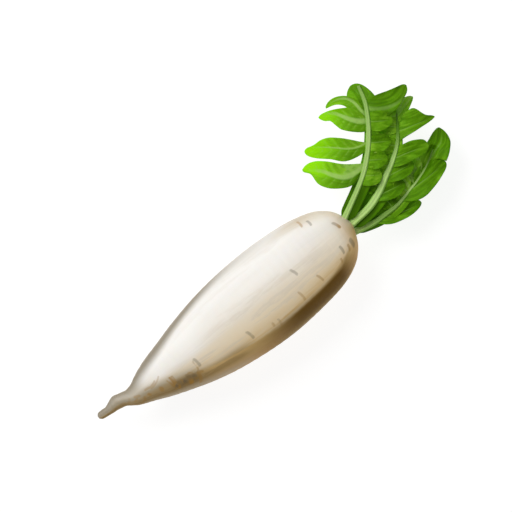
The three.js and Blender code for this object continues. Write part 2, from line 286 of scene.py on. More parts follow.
# %% Finish class
class Finish:
    """A material in the making: a tree of nodes that ends in one surface."""

    def __init__(self, name):
        self.material = bpy.data.materials.new(name)
        self.material.use_nodes = True
        self.tree = self.material.node_tree
        self.tree.nodes.clear()
        self.colour = "ffffff"

    def node(self, kind, settings=None, sockets=None, output=0):
        """Adds a node, sets its settings first and then its sockets, and gives the wire that leaves it."""
        made = self.tree.nodes.new(kind)
        for name, value in (settings or {}).items():
            if name == "stops":
                self.set_stops(made.color_ramp, value)
            else:
                setattr(made, name, value)
        for key, value in (sockets or {}).items():
            if isinstance(value, Wire):
                self.tree.links.new(value.socket, made.inputs[key])
            else:
                made.inputs[key].default_value = paint(value) if isinstance(value, str) else value
        if made.outputs:
            return Wire(self, made.outputs[output])

    def set_stops(self, ramp, stops):
        """Colours along a ramp, each given as its place from 0 to 1 and its code."""
        while len(ramp.elements) < len(stops):
            ramp.elements.new(1.0)
        for element, (place, code) in zip(ramp.elements, stops.items()):
            element.position = place
            element.color = paint(code)

    def ramp(self, value, stops):
        return self.node("ShaderNodeValToRGB", {"stops": stops}, {0: value})

    def vector(self, x, y, z):
        return self.node("ShaderNodeCombineXYZ", None, {0: x, 1: y, 2: z})

    def fact(self, name):
        """A number that the mesh holds on each of its points."""
        return self.node("ShaderNodeAttribute", {"attribute_name": name}, output="Fac")

    def place(self):
        """Where a point is on the piece, in metres."""
        return self.node("ShaderNodeTexCoord", output="Object")

    def noise(self, vector, scale=1.0, detail=3.0, roughness=0.5, distortion=0.0):
        sockets = {"Vector": vector, "Scale": scale, "Detail": detail}
        sockets |= {"Roughness": roughness, "Distortion": distortion}
        return self.node("ShaderNodeTexNoise", None, sockets, "Fac")

    def blend(self, share, first, second):
        """The first colour where share is 0, the second where it is 1. Inputs 6 and 7 are Mix's colours."""
        return self.node("ShaderNodeMix", {"data_type": "RGBA"}, {0: share, 6: first, 7: second}, 2)

    def lay(self, share, over):
        """Lays a colour over what is there so far, more of it where share is greater."""
        self.colour = self.blend(share, self.colour, over)

    def bump(self, height, depth, strength):
        return self.node("ShaderNodeBump", None, {"Height": height, "Distance": depth, "Strength": strength})

    def close(self, sockets):
        """Ends the tree in one Principled surface of the colour laid so far, and gives the material."""
        surface = self.node("ShaderNodeBsdfPrincipled", None, {"Base Color": self.colour} | sockets)
        self.node("ShaderNodeOutputMaterial", None, {"Surface": surface})
        return self.material


print(Finish.__doc__)

# %% [markdown]
# ## The root
#
# A daikon root swells from a thin tail to its fullest at two thirds of its length, and closes in a blunt
# crown. Turning a profile on a lathe gives that, and moving each ring sideways gives the bent tail. The belly
# is cut flat where the root rests, so its middle line lies a little less than a full radius above the table.
# It climbs slightly towards the crown, and the tail droops.

# %% Root profile
ROOT_LENGTH = 280
ROOT_RADIUS = 42
TAIL_TO_REST = 174
FLAT_DEPTH = 1.2
ROOT_PITCH = 0.02
TAIL_SHARE = 0.16
TAIL_DROOP = 3
# (share of the length, share of the full radius, millimetres to the left)
ROOT_STATIONS = [
    (0, 0.035, 5.2), (0.008, 0.081, 5.2), (0.022, 0.092, 4.9),
    (0.036, 0.097, 4.55), (0.05, 0.118, 4.95), (0.064, 0.144, 5.65),
    (0.078, 0.161, 5.6), (0.092, 0.162, 4.6), (0.106, 0.18, 2.85),
    (0.12, 0.205, 1.1), (0.135, 0.236, 0.3), (0.152, 0.281, 0.3),
    (0.18, 0.364, 0.7), (0.226, 0.483, 0.2), (0.29, 0.612, -0.8),
    (0.36, 0.747, -1.15), (0.45, 0.879, -1.15), (0.55, 0.968, -1.05),
    (0.65, 1.0, -0.7), (0.745, 0.974, -0.55), (0.825, 0.914, -0.1),
    (0.885, 0.828, 0.6), (0.925, 0.726, 1.3), (0.955, 0.59, 1.7),
    (0.978, 0.42, 2.2), (0.993, 0.22, 2.5), (1.0, 0.06, 2.6),
]


def root_ring(t):
    """Distance down the root, radius and sideways shift of the ring at t, in millimetres."""
    share, girth, left = along(ROOT_STATIONS, np.asarray(t, float)).T
    return share * ROOT_LENGTH, girth * ROOT_RADIUS, left


def middle_height(x):
    """How high the root's middle line is above the table, x millimetres from the flat spot to the crown."""
    into_tail = np.maximum(0, 1 - (x + TAIL_TO_REST) / (TAIL_SHARE * ROOT_LENGTH))
    return ROOT_RADIUS - FLAT_DEPTH + ROOT_PITCH * x - TAIL_DROOP * into_tail**2


print("fullest radius:", round(float(root_ring(np.linspace(0, 1, 101))[1].max()), 1), "mm")

# %% [markdown]
# ## Marks on the skin
#
# Side roots leave short marks that lie across the root, like dashes: grey where the scar is old, tan where
# the skin has corked over, and a brown cluster near the tail where most of them grew. Painting them by hand
# would tie them to one side, so each is a row of numbers that is laid round the skin. The sides that nobody
# looks at first get marks of the same kinds from a seeded draw.

# %% Skin marks
# (millimetres from the tail tip, degrees round from the top towards +Y, length, slant, thickness, grey, tan)
# The slant is the tangent of the angle that a mark leans by from straight across the root.
MARKS = [
    (251, 47, 9, -0.08, 2.4, 0.45, 0), (244, 55, 12, -0.05, 2.2, 0, 0.5),
    (268.5, 19, 9, -0.4, 3.0, 0.35, 0.6), (270, -37, 10.5, 0.02, 3.8, 0.5, 0),
    (265, -33, 7, 0.3, 2.6, 0, 0.55), (259, -23, 9, 0.04, 2.6, 0.45, 0),
    (253, -34, 5, 0.18, 2.2, 0, 0.45), (214, 1, 9, -0.36, 2.6, 0.4, 0),
    (229, -27, 10, -0.26, 2.2, 0, 0.45), (207, -29, 12, -0.08, 2.4, 0, 0.4),
    (178, -39, 11, 0.1, 2.0, 0.3, 0.2), (172, -35, 6, 0.02, 2.4, 0, 0.35),
    (151, -27, 11, -0.2, 2.8, 0.4, 0), (99.8, -16, 10, -0.1, 2.8, 0.4, 0),
    (97, -15.8, 6.7, -0.15, 1.3, 0, 0.3), (93.5, -46, 16, 0.28, 3.0, 0, 0.55),
    (96.5, -27, 6, 0.36, 1.8, 0, 0.4), (96.6, -34, 6.5, -3.4, 3.2, 0, 0.55),
    (90.5, -39, 7.5, -0.1, 3.6, 0.4, 0.3), (85.6, -39, 13.5, 0.12, 4.2, 0.3, 0.8),
    (89, -26, 5, -1.7, 2.0, 0, 0.4), (80.4, -42.5, 8.5, 0.1, 4.2, 0.5, 0.2),
    (79, -34, 6, 0, 2.0, 0, 0.4), (75, -40, 11, 0.3, 2.4, 0.1, 0.6),
    (71.4, -43, 8, 0.3, 3.2, 0.5, 0.3), (72.2, -26, 12, 0.07, 2.4, 0, 0.7),
    (74.6, -22, 9, 0.09, 1.6, 0, 0.5), (69.5, -27, 10, -0.15, 1.6, 0, 0.45),
    (60.4, -30, 6, 0.2, 4.0, 0, 0.55), (62.7, -2, 7.5, 1.4, 1.6, 0, 0.3),
    (57.5, -4, 6.5, 2.4, 1.8, 0, 0.35), (56.5, -11, 8, 3.4, 1.8, 0, 0.35),
    (51, -7, 7.5, -8, 2.2, 0, 0.35), (48.9, -28, 4, -0.6, 3.2, 0, 0.55),
    (39, -7, 6.5, -2.9, 2.6, 0, 0.4), (37, -19, 7, 1.15, 2.2, 0, 0.35),
    (31, -17, 7, 0.67, 1.6, 0, 0.2), (41.7, -45, 10.5, 0.9, 2.4, 0, 0.4),
]
UNSEEN_MARKS = 30

seen = len(MARKS)
unseen = random.Random(7)
for _ in range(UNSEEN_MARKS):
    # Anywhere round the belly, from the thin tail to just short of the crown.
    down = ROOT_LENGTH * (0.1 + 0.86 * unseen.random())
    turn = unseen.choice([-1, 1]) * unseen.uniform(100, 180)
    grey = unseen.uniform(0.3, 0.5) if unseen.random() < 0.5 else 0.0
    length, thickness = unseen.uniform(5, 12), unseen.uniform(2, 3)
    MARKS.append((down, turn, length, unseen.uniform(-0.3, 0.3), thickness, grey, 0.5 - 0.5 * grey))
print(seen, "marks placed and", len(MARKS) - seen, "drawn")

# %% [markdown]
# ## How far a point is from a mark
#
# A mark is a short dash with round ends, bowed a little as it follows the root round. The finish could paint
# it from a distance, and so could the relief, so one function measures every point of the skin against every
# mark. It counts in half-thicknesses, so that thick and thin marks share one soft edge.

# %% Nearest mark
MARK_REACH = 3.0
BOW = -0.25


def nearest_mark(down, turn, radius):
    """How many of its half-thicknesses each point is from the nearest mark, and how grey and tan that is."""
    distance = np.full_like(down, MARK_REACH)
    grey = np.zeros_like(down)
    tan = np.zeros_like(down)
    for mark_down, mark_turn, length, slant, thickness, mark_grey, mark_tan in MARKS:
        arc = radius * np.radians((turn - mark_turn + 180) % 360 - 180)
        forward = down - mark_down
        lean = math.hypot(1, slant)
        lengthwise = (arc + slant * forward) / lean
        aside = (forward - slant * arc) / lean - BOW * lengthwise**2 / length
        beyond = np.maximum(np.abs(lengthwise) - (length - thickness) / 2, 0)
        apart = np.hypot(aside, beyond) / (thickness / 2)
        # A mark that is both grey and tan is grey at one end and tan at the other.
        share = smooth(-0.3, 0.3, lengthwise / length) if mark_grey and mark_tan else 1
        nearer = apart < distance
        distance = np.where(nearer, apart, distance)
        grey = np.where(nearer, mark_grey * share, grey)
        tan = np.where(nearer, mark_tan * (1.3 - share if mark_grey else 1), tan)
    return distance, grey, tan


here = np.array([214.0])
print("half-thicknesses from a mark:", nearest_mark(here, np.array([1.0]), np.array([40.0]))[0])

# %% [markdown]
# ## Uneven skin
#
# No root is as round as a lathe makes it. A few slow sine waves, each with its own direction and phase, stand
# in for the swellings, and quicker ones along the root for the fine rings round the skin. A noise texture
# would do as well, but sines can be read at every point of the mesh in one step.

# %% Uneven skin helper
def swellings(down, turn, seed, count, longest):
    """A gentle random height from -1 to 1 on the root's skin, seamless around it."""
    draw = random.Random(seed)
    height = np.zeros_like(down)
    for _ in range(count):
        waves = draw.randint(0, 3)
        length = longest * draw.uniform(0.4, 1)
        phase = draw.uniform(0, 2 * math.pi)
        height += np.sin(waves * np.radians(turn) + 2 * math.pi * down / length + phase)
    return height / count**0.5


belly = swellings(np.array([170.0]), np.array([180.0]), 3, 6, 120)
print("swelling at the belly:", belly.round(2))

# %% [markdown]
# ## The root's skin
#
# Profile, swellings and marks come together in one closed skin: a ring of points at every step from tail to
# crown, and a single point to close each end. Each mark is sunk a little, as the skin is where a side root
# broke off. Every point keeps the numbers that the finish will read: how far down the root it is, how far
# round to the left and to the top, its nearest mark, and how much painted shade darkens it along its left
# edge.

# %% Root mesh
ROOT_RINGS = 440
ROOT_SIDES = 220
SWELL_HEIGHT = 0.35
SWELL_LENGTH = 130
RING_HEIGHT = 0.06
RING_SPACING = 9
DENT_DEPTH = 0.35
MOST_LIFT = 0.25
# Painted shade along the root's left edge: where it starts across the root, how it ends at each step down,
# and how it widens towards the tail.
EDGE_SHADE_START = 0.81
EDGE_SHADE_END = [1.1, 1.1, 0.94, 0.93, 0.95, 1.0, 1.1, 1.25, 1.45, 1.35, 1.3]
EDGE_SHADE_WIDENS_BELOW = 0.48
EDGE_SHADE_WIDENING = 6


def root_points():
    """The points of the root's skin in rows from tail to crown, and the facts that its finish reads."""
    t = np.repeat(np.linspace(0, 1, ROOT_RINGS), ROOT_SIDES)
    turn = np.tile(np.linspace(-180, 180, ROOT_SIDES, endpoint=False), ROOT_RINGS)
    down, radius, left = root_ring(t)
    mark, grey, tan = nearest_mark(down, turn, radius)
    swell = SWELL_HEIGHT * swellings(down, turn, seed=3, count=7, longest=SWELL_LENGTH)
    rings = RING_HEIGHT * swellings(down, turn, seed=5, count=9, longest=RING_SPACING)
    lift = smooth(0, 0.12, t) * smooth(1, 0.93, t) * (swell + rings)
    lift -= DENT_DEPTH * np.maximum(grey, tan) * smooth(1.6, 0.3, mark)
    girth = radius + np.minimum(lift, MOST_LIFT)

    side, top = np.sin(np.radians(turn)), np.cos(np.radians(turn))
    x = down - TAIL_TO_REST
    points = np.stack([x, left + girth * side, np.maximum(middle_height(x) + girth * top, 0)], axis=1)
    down = down / ROOT_LENGTH
    # How much painted shade darkens each point along the left edge.
    edge_shade_start = EDGE_SHADE_START - EDGE_SHADE_WIDENING * np.maximum(EDGE_SHADE_WIDENS_BELOW - down, 0) ** 2
    film = smooth(edge_shade_start, along(EDGE_SHADE_END, down), side)
    facts = {"down": down, "side": side, "top": top, "mark": mark, "grey": grey, "tan": tan, "film": film}
    return points, facts


skin_points, skin_facts, skin_faces = closed_tube(*root_points(), ROOT_SIDES)
print(len(skin_faces), "faces on the root")

# %% [markdown]
# ## The root's finish, in layers
#
# A washed root is not one colour, and here its colour also carries painted light and shade: a painted
# highlight in ivory on the lit left side, painted shade in tan and brown on the right flank and at the tail,
# and beige at the crown. So the finish is built in layers of colour. All of them are mixed from the numbers
# on the mesh and a few noises stretched along the root, because those stay on the root from whichever side it
# is seen. Feather, ragged and torn keep a layer from ending in a clean line.

# %% Shared by the layers
skin = Finish("ivory skin")
down, side, top = map(skin.fact, ["down", "side", "top"])
narrow = skin.vector(down * 5.0, side * 5.5, top * 5.5)
wide = skin.vector(down * 2.6, side * 2.2, top * 2.2)
strokes = skin.noise(narrow, detail=4.0, roughness=0.62, distortion=0.5)
broad = skin.noise(wide, detail=2.0, distortion=0.3)
fine = skin.noise(skin.place(), 260, roughness=0.6)
feather = 0.42 * (strokes - 0.5) + 0.2 * (broad - 0.5)
ragged = top + 0.7 * (strokes - 0.5) + 0.7 * (broad - 0.5)
torn = down + (0.65 * feather + 0.12 * (broad - 0.5) + 0.07) * top.smooth(0.35, -0.05)
print(len(skin.tree.nodes), "nodes shared by the layers")

# %% [markdown]
# ## Ivory
#
# The ground colour is a ramp read across the root, from clean ivory above to tan on the right flank, and much
# of it is painted light and shade: a painted highlight on the lit left side, painted shade that deepens to
# tan on the right flank, and a little painted shade again at the left edge. The belly is one plain beige,
# faint darker streaks run along the root, and a painted highlight lies towards the tail.

# %% Ivory
# Painted highlight and painted shade across the root: brightest on the lit left side, tan on the shaded right
# flank, a little darker at the left edge.
ACROSS_THE_ROOT = {
    0.02: "c89d5e", 0.17: "e2bf80", 0.24: "f0d8ae", 0.33: "f4e2c2", 0.44: "efe2cb",
    0.56: "f0e9dd", 0.70: "efebe4", 0.82: "f5f2ed", 0.93: "e8e4dd",
}
BELLY_BEIGE, STREAK, PAINTED_HIGHLIGHT = "e0cfae", "ddd0ba", "fffcf6"

skin.colour = skin.ramp(0.5 + 0.5 * (side + feather), ACROSS_THE_ROOT)
skin.lay(0.6 * ragged.smooth(0.05, -0.6), BELLY_BEIGE)
streak = strokes.smooth(0.5, 0.62) * top.smooth(-0.2, 0.5) * side.smooth(-0.62, -0.35)
skin.lay(0.45 * streak * (0.2 + 0.8 * side.smooth(0.4, 0.0)), STREAK)
# A painted highlight on the middle of the root towards the tail.
painted_highlight = side.band(-0.25, 0.1, 0.5, 0.8) * down.band(0.17, 0.25, 0.36, 0.48)
skin.lay(0.6 * painted_highlight, PAINTED_HIGHLIGHT)
print(len(skin.tree.nodes), "nodes with the ivory")

# %% [markdown]
# ## The band of painted shade
#
# A long band of painted shade lies low on the right flank, from the middle of the root almost to the crown,
# dark brown where the root turns away from the light. It has a soft upper edge and an olive rim of painted
# reflected light, and breaks up into strokes on the belly. A band painted as its own layer can be moved or
# faded without touching the ivory under it.

# %% Painted shade band
SHADE_BAND_BROWN, REFLECTED_LIGHT_OLIVE = "6f4f0d", "ac9238"

body = torn.band(0.48, 0.72, 0.87, 0.96)
flank = side + 0.18 * feather - 0.1 * down.smooth(0.88, 0.95)
# Painted shade: a dark brown band low on the right flank, where the root turns away from the light.
painted_shade_band = flank.smooth(-0.56, -0.72) * ragged.smooth(-0.45, 0.4)
skin.lay(painted_shade_band * (0.12 + 0.88 * body), SHADE_BAND_BROWN)
# Painted reflected light: a lighter olive rim at the outer edge of the shade band.
rim = side.smooth(-0.86, -0.98) * ragged.smooth(-0.1, 0.3)
skin.lay(0.27 * rim * body, REFLECTED_LIGHT_OLIVE)
print(len(skin.tree.nodes), "nodes with the soil")

# %% [markdown]
# ## The crown's colours
#
# The crown stood out of the ground: it is creamy on top and beige where it turns over into the stalks.
# Painted shade darkens its left edge in beige, and painted light brightens its end, where the leaves above
# shade it. Each of these is one blend, masked by how far down and how far round the root a point is.

# %% Crown
CROWN_EDGE_SHADE, CROWN_PAINTED_LIGHT, CROWN_CREAM = "cbb692", "fbf3e4", "fff3dc"
SHOULDER_RIGHT, SHOULDER_LEFT = "e2bd82", "ebd4b8"

# Painted shade in beige along the left edge near the crown.
beige = side.smooth(0.55, 0.95) * (down + 0.4 * feather).smooth(0.74, 0.9) * ragged.smooth(-0.9, -0.3)
skin.lay(0.7 * beige, CROWN_EDGE_SHADE)
# Painted light on the crown's end, lifting the shade that the leaves cast there.
skin.lay(0.4 * down.smooth(0.86, 0.95) * side.smooth(-0.6, 0.0), CROWN_PAINTED_LIGHT)
cream = down.smooth(0.82, 0.93) * side.band(-0.55, -0.3, 0.0, 0.35)
skin.lay(0.4 * cream, CROWN_CREAM)
shoulder = skin.blend(side.smooth(-0.5, 0.5), SHOULDER_RIGHT, SHOULDER_LEFT)
skin.lay(0.8 * down.smooth(0.935, 0.985), shoulder)
print(len(skin.tree.nodes), "nodes with the crown")

# %% [markdown]
# ## The tail's colours
#
# The tail's right flank is darkened with painted shade in earthy colours, with a darker brown patch among
# the marks, a band of painted shade beside it and painted reflected light along its lower edge. They are
# blends too, so each fades softly.

# %% Tail
TAIL_SHADE, WARM_TAIL_SHADE, SMEAR, TAIL_CORE_SHADE, TAIL_REFLECTED_LIGHT, TAIL_GREY = "a3967c", "a1875a", "66522f", "7d6233", "c3b397", "b5a992"

# Painted shade on the tail's right flank, greyer at first and warmer further round.
low = (side + 2.2 * (down - 0.25) + 0.8 * feather).smooth(0.05, -0.46)
tail_shade_colour = skin.blend(side.smooth(-0.25, -0.5), TAIL_SHADE, WARM_TAIL_SHADE)
skin.lay(0.85 * low * down.smooth(0.42, 0.3), tail_shade_colour)
smear = down.band(0.235, 0.27, 0.32, 0.35) * side.band(-0.85, -0.66, -0.55, -0.4) * top.smooth(0.0, 0.3)
skin.lay(0.5 * smear, SMEAR)
# Painted shade: the dark core of the shade band carried on down the tail.
tail_core_shade = side.band(-0.88, -0.74, -0.62, -0.45) * ragged.smooth(-0.1, 0.3) * down.smooth(0.56, 0.46)
skin.lay(0.5 * tail_core_shade * strokes.smooth(0.35, 0.6), TAIL_CORE_SHADE)
# Painted reflected light: a paler edge low on the right flank towards the tail.
tail_reflected_light = side.smooth(-0.76, -0.94) * ragged.smooth(-0.2, 0.2) * torn.smooth(0.56, 0.42)
skin.lay(0.62 * tail_reflected_light * down.smooth(0.12, 0.2), TAIL_REFLECTED_LIGHT)
skin.lay(0.7 * down.smooth(0.2, 0.14) * side.smooth(-0.3, 0.3), TAIL_GREY)
print(len(skin.tree.nodes), "nodes with the tail")

# %% [markdown]
# ## Painted edge shade and marks
#
# Painted shade darkens the left edge of the root, grey above and tan lower down, and a tan dusting lies below
# it. The marks come last, because they lie on top of everything: tan cork first, then grey scars. Their edge
# is roughened by the fine noise, as no scar ends in a clean line.

# %% Painted edge shade and marks
DUSTING, EDGE_SHADE_GREY, EDGE_SHADE_TAN, CORK, SCAR = "c0a574", "82765f", "94805a", "aa7f38", "625944"

dusting = ragged.smooth(0.35, -0.15) * side.smooth(0.1, 0.7) * torn.smooth(0.78, 0.4)
skin.lay(0.5 * dusting, DUSTING)
# Painted shade on the left edge, grey above and tan lower down.
edge_shade_colour = skin.blend(top.smooth(0.3, -0.15), EDGE_SHADE_GREY, EDGE_SHADE_TAN)
skin.lay(0.94 * skin.fact("film") * ragged.smooth(-0.3, 0.3), edge_shade_colour)
near = (skin.fact("mark") + 0.5 * (fine - 0.5)).smooth(1.35, 0.5)
skin.lay(near * skin.fact("tan"), CORK)
skin.lay(near * skin.fact("grey"), SCAR)
print(len(skin.tree.nodes), "nodes with mud and marks")

# %% [markdown]
# ## The dressed root
#
# Fresh daikon has a moist gleam, so a thin coat lies over the ivory and fades on the band of painted shade.
# A little light also sinks into the flesh. The relief is mostly the fine rings round the skin: it is small,
# because the true shape already carries the swellings and dents. The piece then stands in for its node.

# %% Root piece
rings = skin.noise(skin.place().scaled((420, 30, 30)), detail=2.0)
relief = skin.bump(rings * 0.6 + strokes * 0.4 + fine * 0.25, depth=0.0005, strength=0.4)
ivory_skin = skin.close({
    "Roughness": 0.42 + 0.16 * broad,
    "Normal": relief,
    "Specular IOR Level": 0.06,
    "Coat Weight": 0.35 * (1.0 - 0.95 * painted_shade_band),
    "Coat Roughness": 0.35,
    "Subsurface Weight": 0.08,
    "Subsurface Radius": (1.0, 0.7, 0.45),
    "Subsurface Scale": 0.004,
})
root = make_piece("root_skin", skin_points, skin_faces, skin_facts, [ivory_skin])
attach(root, "root")
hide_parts("root")
print(root.name, "has", len(root.data.polygons), "faces")

# %% [markdown]
# ## The leaves
#
# A daikon leaf is a pale juicy stalk that runs on as the rib, a narrow wing of blade along both sides of it,
# and lobes cut back to the rib, with one lobe at the end. Each leaf is described by the points its rib passes
# through and by its lobes: where each leaves the rib, which way it heads, how far its tip is, how much it
# turns on the way, and its half-widths to either side. The lobes that lie hidden share one plain outline.
#
# A leaf's other measures are the rib's half-width, where its wings end and how wide they are to the left and
# right, how light its wings are, and how light its rib is, which is painted shade where the leaf above hides
# it. Each list of values runs from the crown to the tip.

# %% Lobe measures
def lobe(at, heading, reach, bend, left, right, arch, drop, tone, lime=0.0, vein=0.6, half_shade=0.0, roll=0.0,
         foot=0.0, sway=(0, 0)):
    """One lobe. arch is how high its middle rises, drop how far its tip sinks, and roll how steeply it climbs
    to its left. tone is how light its green is: its own green, raised as painted light where the lobe lies in
    shade and lowered as painted shade on the shaded side. lime is how far its tip turns lime, partly the
    young tip's own colour and partly painted light on the lit lobes. vein is its vein's half-width,
    half_shade how much painted shade darkens its left half against its right, foot how much painted light
    lightens it by the rib, and sway how far left of its middle the vein wanders."""
    return dict(at=at, heading=heading, reach=reach, bend=bend, left=left, right=right, arch=arch, drop=drop,
                tone=tone, lime=lime, vein=vein, half_shade=half_shade, roll=roll, foot=foot, sway=sway)


def hidden(at, heading, reach, width, drop, tone, bend=10):
    """A lobe that is nowhere seen on its own, with a plain outline."""
    side = [share * width for share in (0.6, 0.85, 1.0, 1.0, 0.85, 0.6)]
    return lobe(at, heading, reach, bend, side, side, 1, drop, tone)


print("a hidden lobe:", hidden(0.5, 90, 20, 9, 3, 0.5))

# %% [markdown]
# ## The upper leaf
#
# This is the leaf that lies on top. Four lime lobes stand free on its left, with pale veins that sway as they
# go, one broad lobe closes it and one leans over the leaf below. The last four lie between the ribs.

# %% Upper leaf
UPPER = {
    "name": "leaf_upper",
    "rib": [(97, 5.9, 44), (107, 11, 48), (128.5, 22.5, 55), (143.4, 32.1, 58.5),
            (158, 45.6, 60), (170.2, 60.7, 58), (180.1, 77.4, 55), (184.9, 92.9, 50.5)],
    "girth": [2.6, 2.5, 2.4, 2.4, 2.4, 2.3, 2.1, 1.5],
    "wing": (0.94, [5.4, 5.6, 5.2, 4, 3.6, 3.4, 3], [8.5, 9, 10, 10, 10, 9, 5]),
    "wing_tone": 0.4,
    "rib_tone": [0.8, 0.85, 0.85, 0.8, 0.7, 0.55, 0.3],
    "lobes": [
        lobe(0.42, 140, 53.4, -45, [4, 8.3, 10.4, 11, 10.7, 8.2, 1.6, 3.6], [7, 9, 10.8, 12.3, 11.8, 9.5],
             3, 15, 0.75, lime=1.0, vein=3.2, half_shade=0.5, sway=[-6, -0.4, 1.3, -0.7, -3.2, -2.5, -1]),
        lobe(0.575, 145.7, 55.2, -10, [3.5, 8.2, 10.5, 7.8, 6.7, 5.5],
             [3.5, 5.2, 7.5, 9.5, 10.8, 11.3, 9.6, 5.6, 5],
             4, 14, 0.6, lime=1.0, vein=1.1, half_shade=0.2, sway=[-4.5, -0.7, -0.3, -1.9, -3.0, -3.5, -3.5]),
        lobe(0.74, 137.3, 42.8, 30, [9, 11.5, 12.8, 13.2, 12.9, 11.8, 8.5, 4.8, 4.6, 3.2],
             [1.5, 5.2, 7.3, 6, 4.6, 3],
             4, 12, 0.6, lime=0.9, vein=2.8, half_shade=0.1, sway=[-0.5, 2.5, 2.8, 1.0, -1.7, -2.3, -1]),
        lobe(0.79, 134.4, 35.9, 95, [5, 8, 7.5, 4, 1.8, 1.2], [1, 1.6, 3.6, 4.6, 4.6, 3],
             3, 10, 0.6, lime=0.35, vein=1.9, sway=[3.6, 2.8, 0.4, -2.0, -2.4, -1.6, -1]),
        lobe(0.81, 85.2, 25.5, 35, [4, 6, 8, 9.5, 9.5, 7.5], [4.5, 8, 11, 10.6, 9.6, 8.4, 7, 5],
             -1, 11, 0.3, lime=0.1, half_shade=-0.15),
        lobe(0.84, -11.6, 40, 5, [4, 4.6, 4.2, 3.4, 3, 3.5], [12, 15.5, 16.5, 14, 9.5, 6.5],
             2, 7, 0.35, vein=2.4, sway=[-2, -6.4, -9, -10.1, -9.7, -7.4, -3.4]),
        lobe(0.735, -32.9, 21.6, 10, [7, 9, 9.5, 9, 7.5, 5], [7, 8.5, 9, 8, 6, 4.5], 1, 4, 0.55, roll=0.1),
        lobe(0.6, -32.4, 20, 10, [6, 6.5, 7, 7, 6.5, 5], [7.5, 9, 9, 8, 6, 4],
             1, 4, 0.55, roll=0.1, half_shade=0.3),
        lobe(0.49, -32.3, 18.8, 10, [7, 8, 8, 8, 7, 5], [7, 8, 8.5, 7.5, 6, 4], 1, 4, 0.5, roll=0.1),
        lobe(0.385, -34, 17, 10, [7, 8, 8, 7.5, 6.5, 5], [8, 9, 9, 8.5, 7, 5], 1, 4, 0.65, roll=0.1),
    ],
}

print("the upper leaf has", len(UPPER["lobes"]), "lobes")

# %% [markdown]
# ## The middle leaf
#
# The middle leaf has the stoutest stalk, and its rib sinks out of sight under the upper leaf. Its lobes to
# the right are seen past that leaf, and those to the left only as soft shapes between the ribs.

# %% Middle leaf
MIDDLE = {
    "name": "leaf_middle",
    "rib": [(97, 0.9, 39), (107, 1.7, 41.5), (125.8, 3.4, 46.5), (141.1, 8.4, 49), (155.2, 16.2, 50),
            (169.6, 24.1, 50), (181.5, 33.3, 49), (190.7, 44.7, 46), (196.6, 53.3, 43)],
    "girth": [2.8, 3.3, 3.4, 3.3, 3.0, 2.4, 1.8, 1.3, 0.8],
    "wing": (0.97, [8, 9, 10, 11, 11, 10, 8], [8, 9, 10, 9, 6, 4, 3.5]),
    "wing_tone": 0.65,
    "rib_tone": [1.0, 1.0, 1.0, 0.95, 0.75, 0.0, 0.15],
    "lobes": [
        lobe(0.96, 14.1, 23.3, 0, [8, 10, 10, 8, 5.5, 3.5], [5, 5, 4.5, 3.5, 2.5, 1.5], 1, 5, 0.65,
             half_shade=-0.4, foot=0.2),
        lobe(0.825, -15.7, 35.5, 0, [3, 10.5, 13.6, 13.6, 5, 2.5], [9, 6.7, 5.4, 4, 2.7, 1.2], 2, 7, 0.5),
        lobe(0.62, -17.1, 33.8, -10, [2, 8, 8.6, 9, 8.2, 8], [8, 8.4, 8, 7, 6, 4], 2, 6, 0.5),
        hidden(0.49, -10.6, 28, 8, 5, 0.4, bend=5),
        hidden(0.35, -11.8, 27.5, 8, 4, 0.3, bend=5),
        hidden(0.97, 146.1, 21.5, 9, 3, 0.8),
        hidden(0.86, 139.9, 21.5, 8, 3, 0.8),
        hidden(0.72, 138.2, 21.2, 8, 3, 0.7),
        hidden(0.57, 136.8, 19.7, 8, 3, 0.6),
        hidden(0.42, 131.4, 16.6, 8, 2, 0.1),
    ],
}

print("the middle leaf has", len(MIDDLE["lobes"]), "lobes")

# %% [markdown]
# ## The lower leaf
#
# The lower leaf lies nearest to the table and is the darkest. It has three wide lobes on the outer side that
# almost close into one margin, and its rib is thin.

# %% Lower leaf
LOWER = {
    "name": "leaf_lower",
    "rib": [(97, -3.9, 33), (107, -6.3, 34.5), (121.8, -9.7, 38), (136.6, -10.2, 40.5), (149.1, -9.9, 41.5),
            (164.1, -6.6, 40.5), (176.3, -3.8, 38), (190, 1.2, 34), (204, 9, 29)],
    "girth": [2.8, 2.9, 2.7, 2.3, 1.8, 1.3, 1.1, 1, 0.8],
    "wing": (0.95, [8, 10, 12, 13, 12, 11, 8], [3.6, 5, 7.5, 7, 6, 6, 5]),
    "wing_tone": 0.6,
    "rib_tone": [1.0, 0.62, 0.28, 0.42, 1.0, 0.6, 0.1],
    "lobes": [
        lobe(0.86, 32.5, 37.5, 0, [9, 10, 8.5, 6, 4.6, 3], [14, 15, 15.5, 14.8, 13, 8], 2, 8, 0.35, vein=1.2,
             foot=0.4, sway=[0, -1.5, -2.6, -3.8, -5.2, -4.5, -3]),
        lobe(0.61, 1, 43, 10, [6, 9, 11, 12, 12, 11], [10, 12, 10.8, 9, 6.6, 5], 2, 9, 0.42),
        lobe(0.32, -17, 38, 25, [5, 6, 7, 7.4, 7.2, 6], [7.5, 7.6, 6.9, 6, 4.6, 3], 1, 8, 0.45),
        hidden(0.75, 80, 26, 9, 2, 1.0),
        hidden(0.6, 88, 25, 9, 2, 0.9),
        hidden(0.44, 92, 19, 8, 2, 0.3),
    ],
}
LEAVES = [UPPER, MIDDLE, LOWER]
print("lobes:", [len(leaf["lobes"]) for leaf in LEAVES])

# %% [markdown]
# ## Where the rib is
#
# Everything on a leaf is set out from its rib: the stalk is a skin round it, the wings spread level from it,
# and each lobe starts on it. So one function gives the rib's place, direction and sideways direction at any
# share of its length, and another lets the blades down beside it, so that none lies over the rib.

# %% Rib
RIB_SAMPLES = 240
SMALL_STEP = 1e-4
TUCK_SLOPE = 1.4
TUCK_WIDTH = 0.85
TUCK_DEPTH = 0.15


